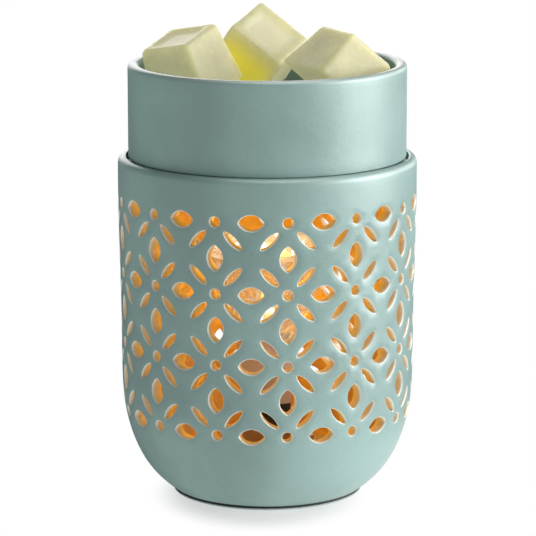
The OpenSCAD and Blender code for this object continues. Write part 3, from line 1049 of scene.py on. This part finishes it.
    def sheet(self, outlines: Outlines, depth: float, outward: bool) -> list[list[int]]:
        """Fill the wall's face between the openings.

        Args:
            outlines: Each opening with its outline on this face.
            depth: The face's depth under the outer face.
            outward: Whether it faces outward.

        Returns:
            The points along the band's bottom and top edges.
        """
        edges = [self.level(self.wall_radius(z, depth), z, depth) for z in self.band]
        rows = [(row, opening.closed) for opening, row in outlines]
        rows += [(row, False) for row in (*edges, *self.side_rows(outlines, edges, depth))]
        flat = list(dict.fromkeys(k for row, _ in rows for k in row))
        flat += self.grid(outlines, flat, depth)
        order = {k: n for n, k in enumerate(flat)}
        links = []
        for row, closed in rows:
            after = [*row[1:], row[0]] if closed else row[1:]
            links += [(order[a], order[b]) for a, b in zip(row, after)]
        corners = (self.points[k] for k in flat)
        spots = [Vector((angle * self.radius / MM, z / MM)) for angle, _, z in corners]
        _, _, triangles, origin, _, _ = delaunay_2d_cdt(spots, links, [], 0, self.JOIN_REACH)
        owner = {k: number for number, (_, row) in enumerate(outlines) for k in row}
        for triangle in triangles:
            corners = [flat[origin[k][0]] for k in triangle]
            if len({owner.get(k, -1 - n) for n, k in enumerate(corners)}) > 1:
                self.faces.append(tuple(corners if outward else corners[::-1]))
        return edges

    def lathe(
        self,
        start: Sequence[int],
        profile: Sequence[tuple[Point2, float]],
        end: Sequence[int],
    ) -> None:
        """Continue a sheet's edge along a profile and join it to another edge.

        Args:
            start: The edge that the profile leaves.
            profile: Points between the two edges, each with the depth that its glaze counts as.
            end: The edge that the profile reaches.
        """
        rows = [start, *(self.level(r, z, depth) for (r, z), depth in profile), end]
        for first, second in zip(rows, rows[1:]):
            self.stitch(first, second, False)

    def build(self) -> bpy.types.Object:
        """Build the whole shade.

        Returns:
            The shade's piece.
        """
        outer, inner = [], []
        for opening in self.openings():
            front, back = self.pierce(opening)
            outer.append((opening, front))
            inner.append((opening, back))
        outer_low, outer_high = self.sheet(outer, 0.0, True)
        inner_low, inner_high = self.sheet(inner, self.wall, False)
        self.lathe(outer_high, self.rim_profile(), inner_high)
        self.lathe(inner_low, self.floor_profile(), outer_low)
        strip = mesh_object("ceramic_shade", self.points, self.faces)
        depth = np.array(self.depths)
        store(strip, "bare", np.clip((depth - self.bare_from) / self.bare_fade, 0, 1))
        store(strip, "thin", [self.thin_glaze_and_highlight.get(k, 0.0) for k in range(len(depth))])
        store(strip, "warm", [self.lamp_glow_shares.get(k, 0.0) for k in range(len(depth))])
        first = math.radians(self.pattern_turn - 90)
        return self.strips.roll(strip, self.columns // 2, first, Finishes.GLAZE)

    def rim_profile(self) -> list[tuple[Point2, float]]:
        """Draw the profile over the rim, down the seat and through the mouth.

        Returns:
            Points as radius and height, each with the depth that its glaze counts as.
        """
        soft, lip, crest = 2.6 * MM, 51 * MM, 0.45 * MM
        seat, mouth, neck = 120 * MM, 46.5 * MM, 115.5 * MM
        edge = 0.7 * MM
        points = [(self.radius, 115 * MM), (self.radius, 118 * MM)]
        points += arc((self.radius - soft, self.height - soft), soft, 0, 80, 6)
        points += arc((lip + crest, self.height - crest), crest, 90, 180, 3)
        points += [(lip, seat + edge)]
        points += arc((lip - edge, seat + edge), edge, 0, -90, 3)[1:]
        points += [(49 * MM, seat)]
        points += arc((mouth + edge, seat - edge), edge, 90, 180, 3)
        points += [(mouth, neck + 0.4 * MM), (mouth + 0.3 * MM, neck - 0.3 * MM)]
        points += [(49.3 * MM, 112.75 * MM), (self.radius - self.wall, 112.3 * MM)]
        fade = 2 * MM
        below = [min(max((seat - z) / fade, 0.0), 1.0) if r < lip else 0.0 for r, z in points]
        return [(point, self.wall * share) for point, share in zip(points, below)]

    def floor_profile(self) -> list[tuple[Point2, float]]:
        """Draw the profile down the inner wall, over the floor, round the foot and up the belly.

        Returns:
            Points as radius and height, each with the depth that its glaze counts as.
        """
        floor, recess, hole = 10 * MM, 5 * MM, 24 * MM
        fillet, edge = 3 * MM, 0.5 * MM
        bare = [(self.wall_radius(z, self.wall), z) for z in (22 * MM, 18 * MM, 15 * MM)]
        inner = self.wall_radius(floor + fillet, self.wall)
        bare += arc((inner - fillet, floor + fillet), fillet, 0, -90, 4)
        bare += [(30 * MM, floor)]
        bare += arc((hole + edge, floor - edge), edge, 90, 180, 2)
        bare += arc((hole + edge, recess + edge), edge, 180, 270, 2)
        ring = 30.2 * MM
        bare += [(ring, recess)]
        bare += arc((ring + edge, self.foot_z + edge), edge, 180, 270, 2)
        low_z, foot_r = self.side[0]
        bare += [(foot_r - 1.2 * MM, self.foot_z)]
        glazed = [(foot_r - 0.7 * MM, self.foot_z + 0.06 * MM)]
        glazed += [(foot_r - 0.3 * MM, self.foot_z + 0.2 * MM)]
        belly = np.arange(6 * MM, self.band[0] - MM, 1.6 * MM)
        for z in (low_z, 2 * MM, 3.2 * MM, 4.6 * MM, *belly):
            glazed.append((self.wall_radius(z, 0.0), z))
        return [(p, self.wall) for p in bare] + [(p, 0.0) for p in glazed]


def inside(points: Sequence, row: Sequence[int], angle: float, z: float) -> bool:
    """Tell whether a place is inside a convex outline that runs anticlockwise.

    Args:
        points: All points, as angle, radius and height.
        row: The outline's indices.
        angle: The place's angle.
        z: The place's height.

    Returns:
        True where it is inside.
    """
    for k, n in zip(row, (*row[1:], row[0])):
        a, b = points[k], points[n]
        if (b[0] - a[0]) * (z - a[2]) - (b[2] - a[2]) * (angle - a[0]) < 0:
            return False
    return True


# ---------------------------------------------------------------- the dish and its wax


@dataclass
class Dish:
    """The open ceramic dish that stands in the shade's seat."""

    strips: RolledStrip
    radius: float = 50.2 * MM
    wall: float = 4.2 * MM
    base_z: float = 120.3 * MM
    top_z: float = 156.5 * MM
    bowl_depth: float = 19.2 * MM
    bowl_round: float = 6 * MM
    floor: float = 4.5 * MM
    edge: float = 1.2 * MM
    cut: float = 1.0 * MM
    seam_z: float = 122.8 * MM
    seam_edge: float = 0.4 * MM
    rim_out: float = 1.7 * MM
    rim_in: float = 1.9 * MM
    ring_r: float = 45.7 * MM
    ring_w: float = 4 * MM
    ring_h: float = 2.5 * MM
    # The lip's thin glaze and painted highlight, and the height over which it fades in.
    lip_fade: float = 0.9 * MM
    lip_thin_and_highlight: float = 0.35
    segments: int = 24
    across: int = 6

    def profile(self) -> list[Point2]:
        """Draw the profile from the underside's middle, round the rim, to the bowl's middle.

        Returns:
            Points as radius and height.
        """
        bowl_z = self.top_z - self.bowl_depth
        under = bowl_z - self.floor
        ring_in, ring_low = self.ring_r - self.ring_w, self.base_z - self.ring_h
        soft = 0.8 * MM
        inner = self.radius - self.wall
        points = [(0.0, under), (15 * MM, under), (30 * MM, under)]
        points += arc((ring_in - 2 * MM, under - 2 * MM), 2 * MM, 90, 0, 3)
        points += [(ring_in, ring_low + soft)]
        points += arc((ring_in + soft, ring_low + soft), soft, 180, 270, 3)
        points += arc((self.ring_r - soft, ring_low + soft), soft, 270, 360, 3)
        points += [(self.ring_r, self.base_z), (48 * MM, self.base_z)]
        foot, seam = self.radius - self.cut, self.seam_edge
        points += arc((foot - self.edge, self.base_z + self.edge), self.edge, -90, 0, 4)
        points += [(foot, self.seam_z)]
        points += arc((self.radius - seam, self.seam_z + seam), seam, -80, 0, 6)
        heights = np.linspace(self.seam_z + 4 * MM, self.top_z - 4 * MM, 6)
        points += [(self.radius, z) for z in heights]
        rim_out, rim_in, bend = self.rim_out, self.rim_in, self.bowl_round
        points += arc((self.radius - rim_out, self.top_z - rim_out), rim_out, 0, 90, 7)
        points += arc((inner + rim_in, self.top_z - rim_in), rim_in, 90, 180, 7)
        points += [(inner, self.top_z - 8 * MM)]
        points += arc((inner - bend, bowl_z + bend), bend, 0, -90, 8)
        points += [(27 * MM, bowl_z), (13 * MM, bowl_z), (0.0, bowl_z)]
        return points

    def build(self) -> bpy.types.Object:
        """Build the dish.

        Returns:
            The dish's piece.
        """
        angles = np.linspace(0, math.tau / self.segments, self.across + 1)
        profile = self.profile()
        points = [(a, r, z) for r, z in profile for a in angles]
        width = len(angles)
        faces = [
            (row * width + k, row * width + k + 1, (row + 1) * width + k + 1, (row + 1) * width + k)
            for row in range(len(profile) - 1)
            for k in range(self.across)
        ]
        strip = mesh_object("ceramic_dish", points, faces)
        rise = (np.array(points)[:, 2] - (self.top_z - self.lip_fade)) / self.lip_fade
        store(strip, "bare", [1.0 if z < self.base_z - MM else 0.0 for _, _, z in points])
        # Thin glaze and a painted highlight along the top of the lip.
        store(strip, "thin", self.lip_thin_and_highlight * np.clip(rise, 0.0, 1.0))
        return self.strips.roll(strip, self.segments, 0.0, Finishes.GLAZE)


@dataclass
class WaxMelt:
    """One cast wax block: tapered, soft-edged, with the hollow that cooling leaves at the top.

    Its size is the width of the small face, the width of the large one and the height. A lump or a
    dent is a width and a height.
    """

    JOIN_REACH = 0.02 * MM
    SMALL_FACE = 4

    side: str
    offset: Point3
    turns: Point3
    size: Point3
    seed: float
    # The side face with a painted deeper colour for light through the wax in shade, and how it
    # spreads and fades.
    painted_translucency_side: int = -1
    painted_translucency_share: float = 0.88
    painted_translucency_powers: Point2 = (6, 12)
    painted_translucency_fade: tuple[float, float, float] = (0.05, 1.0, 0.75)
    soft: float = 1.5 * MM
    waist: float = 0.018
    sink: float = 1.0 * MM
    sink_reach: Point2 = (0.52, 0.82)
    sink_power: float = 5
    sink_pale: float = 0.75
    lip: float = 0.18 * MM
    lip_at: Point2 = (0.86, 0.07)
    lump: Point2 = (7 * MM, 0.14 * MM)
    dent: Point2 = (2.4 * MM, 0.05 * MM)
    steps: int = 30
    spread: float = 0.9

    def shape(self, face: int, u: float, v: float) -> tuple[Vector, float, float]:
        """Place one point of a face of the block.

        Args:
            face: Which face: 0 to 3 are the sides, 4 the small face and 5 the large one.
            u: The place across the face, -1 to 1.
            v: The place up the face, -1 to 1.

        Returns:
            The point in the block's own axes, how deep its colour is and how pale.
        """
        sides = ((1, u, v), (-u, 1, v), (-1, -u, v), (u, -1, v))
        cube = Vector((*sides, (u, v, 1), (u, -v, -1))[face])
        small, large, height = self.size
        half = Vector((large / 2, large / 2, height / 2))
        box = Vector(c * h for c, h in zip(cube, half))
        core = Vector(max(-h + self.soft, min(h - self.soft, c)) for c, h in zip(box, half))
        out = box - core
        point = core + (out.normalized() * self.soft if out.length > TINY else out)
        scale = 1 + (small / large - 1) * (point.z + half.z) / height
        side_on = (1 - cube.z**2) * (1 - min(abs(cube.x), abs(cube.y)) ** 2)
        scale *= 1 - self.waist * side_on
        point = Vector((point.x * scale, point.y * scale, point.z))
        pale = deep = 0.0
        if face == self.SMALL_FACE:
            power = self.sink_power
            round_reach = (abs(u) ** power + abs(v) ** power) ** (1 / power)
            inner = 1 - smooth_step(round_reach, *self.sink_reach)
            point.z -= self.sink * inner
            pale = self.sink_pale * inner
            crest, width = self.lip_at
            point.z += self.lip * math.exp(-(((max(abs(u), abs(v)) - crest) / width) ** 2))
        # On that side face, a deeper colour painted where the face lies in shade, fading upward.
        if face == self.painted_translucency_side:
            low, high, share = self.painted_translucency_fade
            inner = [max(0.0, 1 - abs(c) ** power) for c, power in zip((u, v), self.painted_translucency_powers)]
            deep = self.painted_translucency_share * inner[0] * inner[1]
            deep *= 1 - share * smooth_step(v, low, high)
        lump = noise.noise(point / self.lump[0] + Vector((self.seed, 0, 0)))
        dent = noise.noise(point / self.dent[0] + Vector((0, self.seed, 0)))
        point += cube.normalized() * (self.lump[1] * lump + self.dent[1] * dent)
        return point, deep, pale

    def build(self, bowl_z: float) -> bpy.types.Object:
        """Build the melt where it lies.

        Args:
            bowl_z: The height of the bowl's floor, which the melt's offset starts from.

        Returns:
            The melt's piece.
        """
        turn = Euler([math.radians(t) for t in self.turns]).to_matrix().to_4x4()
        x, y, z = self.offset
        place = Matrix.Translation((x, y, bowl_z + z)) @ turn
        n = self.steps
        grid = np.tan(np.linspace(-1, 1, n + 1) * self.spread) / math.tan(self.spread)
        found: dict[tuple[int, ...], int] = {}
        points, painted_translucency, pales, faces = [], [], [], []
        for face in range(6):
            index = {}
            for i, u in enumerate(grid):
                for j, v in enumerate(grid):
                    point, deep, pale = self.shape(face, float(u), float(v))
                    key = tuple(round(c / self.JOIN_REACH) for c in point)
                    if key not in found:
                        found[key] = len(points)
                        points.append(place @ point)
                        painted_translucency.append(deep)
                        pales.append(pale)
                    index[i, j] = found[key]
            for i in range(n):
                for j in range(n):
                    corners = (index[i, j], index[i + 1, j], index[i + 1, j + 1], index[i, j + 1])
                    if len(set(corners)) > 2:
                        faces.append(tuple(dict.fromkeys(corners)))
        melt = mesh_object("wax_block_" + self.side, points, faces)
        store(melt, "deep", painted_translucency)
        store(melt, "pale", pales)
        melt.data.materials.append(Finishes.WAX.value.material())
        return melt


MELTS = (
    WaxMelt(
        side="left",
        offset=(-28.6 * MM, 9.3 * MM, 16.4 * MM),
        turns=(-10.4, -17.1, 58.4),
        size=(20.9 * MM, 26 * MM, 22.8 * MM),
        seed=1.7,
    ),
    WaxMelt(
        side="middle",
        offset=(-3.2 * MM, 28.4 * MM, 18.8 * MM),
        turns=(38.3, -17.1, 60.6),
        size=(23.6 * MM, 23.9 * MM, 21.3 * MM),
        seed=5.3,
        painted_translucency_side=2,
    ),
    WaxMelt(
        side="right",
        offset=(26.8 * MM, -7.7 * MM, 18.2 * MM),
        turns=(-38.5, 1.7, -60.1),
        size=(21.3 * MM, 28.8 * MM, 19.2 * MM),
        seed=9.1,
    ),
)


# ---------------------------------------------------------------- the lamp


@dataclass
class Reflector:
    """The bulb's faceted glass bowl, as one strip of facets that goes round."""

    strips: RolledStrip
    low_z: float = 54.5 * MM
    bowl_z: float = 56 * MM
    dome_z: float = 87 * MM
    top_z: float = 90 * MM
    neck_r: float = 9 * MM
    waist_r: float = 24 * MM
    radius: float = 25 * MM
    hole_r: float = 5.1 * MM
    wall: float = 1.4 * MM
    floor: float = 1.2 * MM
    soft: float = 0.4 * MM
    bulge: float = 0.32 * MM
    shallow: float = 0.35
    facets: int = 24
    rows: int = 9

    def bowl_radius(self, z: float) -> float:
        """Return the bowl's outer radius at a height."""
        rise = (z - self.bowl_z) / (self.dome_z - self.bowl_z)
        return math.sqrt(self.neck_r**2 + (self.waist_r**2 - self.neck_r**2) * rise)

    def build(self) -> bpy.types.Object:
        """Build the bowl with its brick-like pattern of facets.

        Returns:
            The reflector's piece.
        """
        step = math.tau / self.facets
        points: list[Point3] = []
        faces: list[tuple[int, ...]] = []

        def row(radius: float, z: float) -> list[int]:
            """Add the three points of a plain row and return their indices."""
            points.extend((a * step, radius, z) for a in (-0.5, 0.0, 0.5))
            return list(range(len(points) - 3, len(points)))

        heights = np.linspace(self.bowl_z, self.dome_z, self.rows + 1)
        rows = [row(radius, self.low_z) for radius in (self.hole_r, self.neck_r)]
        plain = len(rows)
        rows += [row(self.bowl_radius(z), z) for z in heights]
        rows += [row(self.radius, self.dome_z), row(self.radius, self.top_z - self.soft)]
        rows += [row(self.radius - self.soft, self.top_z), row(self.radius - self.wall, self.top_z)]
        rows += [row(self.bowl_radius(z) - self.wall, z) for z in heights[:0:-1]]
        rows += [row(self.hole_r, self.bowl_z + self.floor), rows[0]]
        for number, (first, second) in enumerate(zip(rows, rows[1:])):
            for k in (0, 1):
                ring = (first[k], first[k + 1], second[k + 1], second[k])
                if not plain <= number < plain + self.rows:
                    faces.append(ring)
                    continue
                corners = np.array([points[c] for c in ring])
                middle = corners.mean(axis=0)
                middle[1] += self.bulge * (1 if (number + k) % 2 else self.shallow)
                points.append(tuple(middle))
                top = len(points) - 1
                faces.extend((ring[c], ring[(c + 1) % 4], top) for c in range(4))
        strip = mesh_object("glass_reflector", points, faces, False)
        return self.strips.roll(strip, self.facets, 0.0, Finishes.FACET_GLASS)


class CadFinishes:
    """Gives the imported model's own nodes their finishes."""

    NODES = {
        Finishes.RUBBER: "foot_pad clamp_gasket cord_grommet",
        Finishes.BLACK_PLASTIC: "base_plate holder_cap",
        Finishes.STEEL: (
            "base_screws clamp_ring clamp_nuts lamp_bracket bracket_rivets "
            "holder_screws holder_nuts"
        ),
        Finishes.HOLDER: "lamp_holder",
        Finishes.BRASS: "contact_clips terminal_screws bulb_pins",
        Finishes.WHITE_PLASTIC: "lead_wires terminal_block",
        Finishes.WHITE_CERAMIC: "bulb_base",
        Finishes.CLEAR_GLASS: "bulb_front_glass bulb_capsule",
        Finishes.FILAMENT: "bulb_filament",
    }

    def dress(self, nodes: dict[str, bpy.types.Object]) -> None:
        """Assign each node's finish to its object's slots.

        Args:
            nodes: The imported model's objects by node name.
        """
        for finish, names in self.NODES.items():
            for name in names.split():
                for slot in nodes[name].material_slots:
                    slot.link = "OBJECT"
                    slot.material = finish.value.material()
                LOG.info("%s: %s", name, finish.value.name)


# ---------------------------------------------------------------- the studio


class Shows(Enum):
    """What a lamp shows as: light on matt colour, a reflection, or both."""

    BOTH = (True, True)
    MATT = (True, False)
    REFLECTION = (False, True)


@dataclass(frozen=True)
class Lamp:
    """A lamp that no camera sees. It is an area lamp where it aims, and else a point lamp."""

    name: str
    at: Point3
    power: float
    size: float
    color: Color = WHITE
    shows: Shows = Shows.BOTH
    aim: Point3 | None = (0.0, 0.0, 80 * MM)
    cone: float | None = None

    def build(self) -> None:
        """Add the lamp. One with a cone, in degrees, is a soft spot lamp."""
        kind = "SPOT" if self.cone else "AREA" if self.aim else "POINT"
        data = bpy.data.lights.new(self.name, kind)
        data.energy = self.power
        data.color = self.color
        setattr(data, "size" if kind == "AREA" else "shadow_soft_size", self.size)
        if self.cone:
            data.spot_size = math.radians(self.cone)
            data.spot_blend = 1.0
        obj = bpy.data.objects.new(self.name, data)
        obj.location = self.at
        if self.aim:
            toward = Vector(self.aim) - Vector(self.at)
            obj.rotation_euler = toward.to_track_quat("-Z", "Y").to_euler()
        obj.visible_camera = False
        obj.visible_diffuse, obj.visible_glossy = self.shows.value
        bpy.context.scene.collection.objects.link(obj)


WARM = (1.0, 0.45, 0.01)
LAMPS = (
    Lamp("key", (1.24, -0.28, 0.50), 12.0, 0.9, (1.0, 0.995, 0.99)),
    Lamp(
        name="low",
        at=(1.08, -0.66, 0.07),
        power=6.5,
        size=0.5,
        color=(0.93, 0.98, 1.0),
        shows=Shows.MATT,
        aim=(0.0, 0.0, 0.03),
    ),
    Lamp(
        name="bounce",
        at=(1.0, -0.62, 0.02),
        power=8.0,
        size=0.05,
        color=(0.84, 0.94, 1.0),
        shows=Shows.MATT,
        aim=(0.02, -0.02, 0.008),
        cone=6.0,
    ),
    Lamp("sheen", (1.25, -0.06, 0.50), 27.0, 1.1, shows=Shows.REFLECTION),
    Lamp("fill", (-1.2, -0.7, 0.5), 3.2, 1.2, (0.84, 1.0, 0.94), Shows.MATT),
    Lamp("back", (-0.25, 1.5, 0.55), 12.0, 0.9, shows=Shows.REFLECTION),
    Lamp("edge", (1.05, 1.05, 0.50), 7.0, 0.8, shows=Shows.REFLECTION),
    Lamp("top", (0.10, 0.05, 0.95), 1.0, 0.5),
    Lamp("crown", (0.10, -0.10, 0.95), 4.5, 0.6, shows=Shows.REFLECTION),
    Lamp("bulb_glow", (0.0, 0.0, 95 * MM), 0.030, 9 * MM, WARM, aim=None),
    Lamp("bulb_spill", (0.0, 33 * MM, 62 * MM), 0.022, 6 * MM, WARM, aim=None),
)


@dataclass
class Studio:
    """Camera, lamps, floor and world.

    A reach is where a soft step begins and ends. A lead is how far a shadow's middle lies from the
    axis, to the left and to the front.
    """

    camera_at: Point3 = (0.24 * MM, -1098.9 * MM, 308.3 * MM)
    camera_pitch: float = 11.69
    lens: float = 207.05
    sensor: float = 36.0
    sight: float = 50.0
    ambient: float = 0.07
    mirrored_sky: float = 0.05
    floor_r: float = 6.0
    floor_rim: int = 96
    floor_light: float = 0.98
    shadow_reach: Point2 = (24 * MM, 41 * MM)
    shadow_lead: Point2 = (3 * MM, 12 * MM)
    shadow_flat: float = 0.75
    shadow_share: float = 0.5
    gap_reach: Point2 = (34.1 * MM, 34.7 * MM)
    gap_lead: Point2 = (0.0, 2 * MM)
    bright_side: Point2 = (-25 * MM, 50 * MM)
    bright_reach: Point2 = (80 * MM, 140 * MM)

    def camera(self) -> None:
        """Add the camera."""
        data = bpy.data.cameras.new("camera")
        data.lens = self.lens
        data.sensor_width = self.sensor
        data.clip_end = self.sight
        obj = bpy.data.objects.new("camera", data)
        obj.location = self.camera_at
        obj.rotation_euler = (math.radians(90 - self.camera_pitch), 0, 0)
        bpy.context.scene.collection.objects.link(obj)
        bpy.context.scene.camera = obj

    def world(self) -> None:
        """Light evenly and show white behind everything."""
        world = bpy.data.worlds.new("studio")
        world.use_nodes = True
        bpy.context.scene.world = world
        nodes = Nodes(world.node_tree)
        seen = nodes.ray("Camera") + nodes.ray("Transmission")
        white = seen + nodes.ray("Glossy") * self.mirrored_sky
        strength = white * (1 - self.ambient) + self.ambient
        back = world.node_tree.nodes["Background"]
        world.node_tree.links.new(strength.socket, back.inputs["Strength"])
        back.inputs["Color"].default_value = (*WHITE, 1.0)

    def floor_look(self) -> bpy.types.Material:
        """Make the floor's material.

        Cameras see the shadow close to the object and plain white beyond it. Other rays see white,
        and reflections only that near the right side.

        Returns:
            The material.
        """
        material = bpy.data.materials.new("white_floor")
        material.use_nodes = True
        nodes = Nodes(material.node_tree)
        shader = material.node_tree.nodes["Principled BSDF"]
        plain = {"Roughness": 0.9, "Specular IOR Level": 0.1, "Base Color": (0.88, 0.88, 0.88, 1.0)}
        for key, value in plain.items():
            shader.inputs[key].default_value = value
        x, y, _ = nodes.place()
        beside, before = x + self.gap_lead[0], y + self.gap_lead[1]
        foot = (beside * beside + before * before) ** 0.5
        across, along = x + self.shadow_lead[0], (y + self.shadow_lead[1]) * self.shadow_flat
        away = (across * across + along * along) ** 0.5
        open_floor = away.step(*self.shadow_reach) * (1 - self.shadow_share) + self.shadow_share
        white_share = open_floor * foot.step(*self.gap_reach)
        seen, shine = nodes.ray("Camera"), nodes.ray("Glossy")
        white_share = white_share * seen + (1.0 - seen) * self.floor_light
        mirrored = x.step(*self.bright_side) * (1.0 - away.step(*self.bright_reach))
        light = {"Color": (*WHITE, 1.0), "Strength": 1.0 - shine + shine * mirrored}
        white = nodes.node("Emission", {}, light)
        mixed = nodes.node("MixShader", {}, [white_share, shader.outputs[0], white.outputs[0]])
        output = material.node_tree.nodes["Material Output"]
        material.node_tree.links.new(mixed.outputs[0], output.inputs["Surface"])
        return material

    def floor(self) -> None:
        """Add the round white floor."""
        turns = np.arange(self.floor_rim) * math.tau / self.floor_rim
        rim = [(self.floor_r * math.cos(a), self.floor_r * math.sin(a), 0.0) for a in turns]
        plane = mesh_object("floor", rim, [tuple(range(self.floor_rim))])
        plane.data.materials.append(self.floor_look())

    def build(self) -> None:
        """Add everything that isn't part of the object."""
        self.camera()
        for lamp in LAMPS:
            lamp.build()
        self.world()
        self.floor()
        bpy.context.scene.view_settings.view_transform = "Standard"
        LOG.info("studio: %d lamps", len(LAMPS))


# ---------------------------------------------------------------- the warmer


def dish_height() -> float:
    """Return the height of the bowl's floor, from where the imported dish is."""
    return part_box("dish")[1][2] - Dish.bowl_depth


def put(piece: bpy.types.Object, body: str, node: str) -> None:
    """Set a piece on its body in place of a node.

    Args:
        piece: The piece.
        body: The body it moves with.
        node: The node it stands for.
    """
    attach(piece, body)
    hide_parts(node)
    LOG.info("%s: %d faces on %s", piece.name, len(piece.data.polygons), body)


def main() -> None:
    """Build the warmer's pieces, dress the rest, and add the studio."""
    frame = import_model()
    Studio().build()
    strips = RolledStrip("rolled_strip")
    put(Shade(strips).build(), "base", "shade")
    put(Dish(strips).build(), "dish", "dish")
    bowl_z = dish_height()
    for melt in MELTS:
        put(melt.build(bowl_z), "wax_" + melt.side, "wax_melt_" + melt.side)
    put(Reflector(strips).build(), "bulb", "bulb_reflector")
    CadFinishes().dress(frame["nodes"])


if __name__ == "__main__":
    logging.basicConfig(level=logging.INFO, format="%(message)s")
    main()
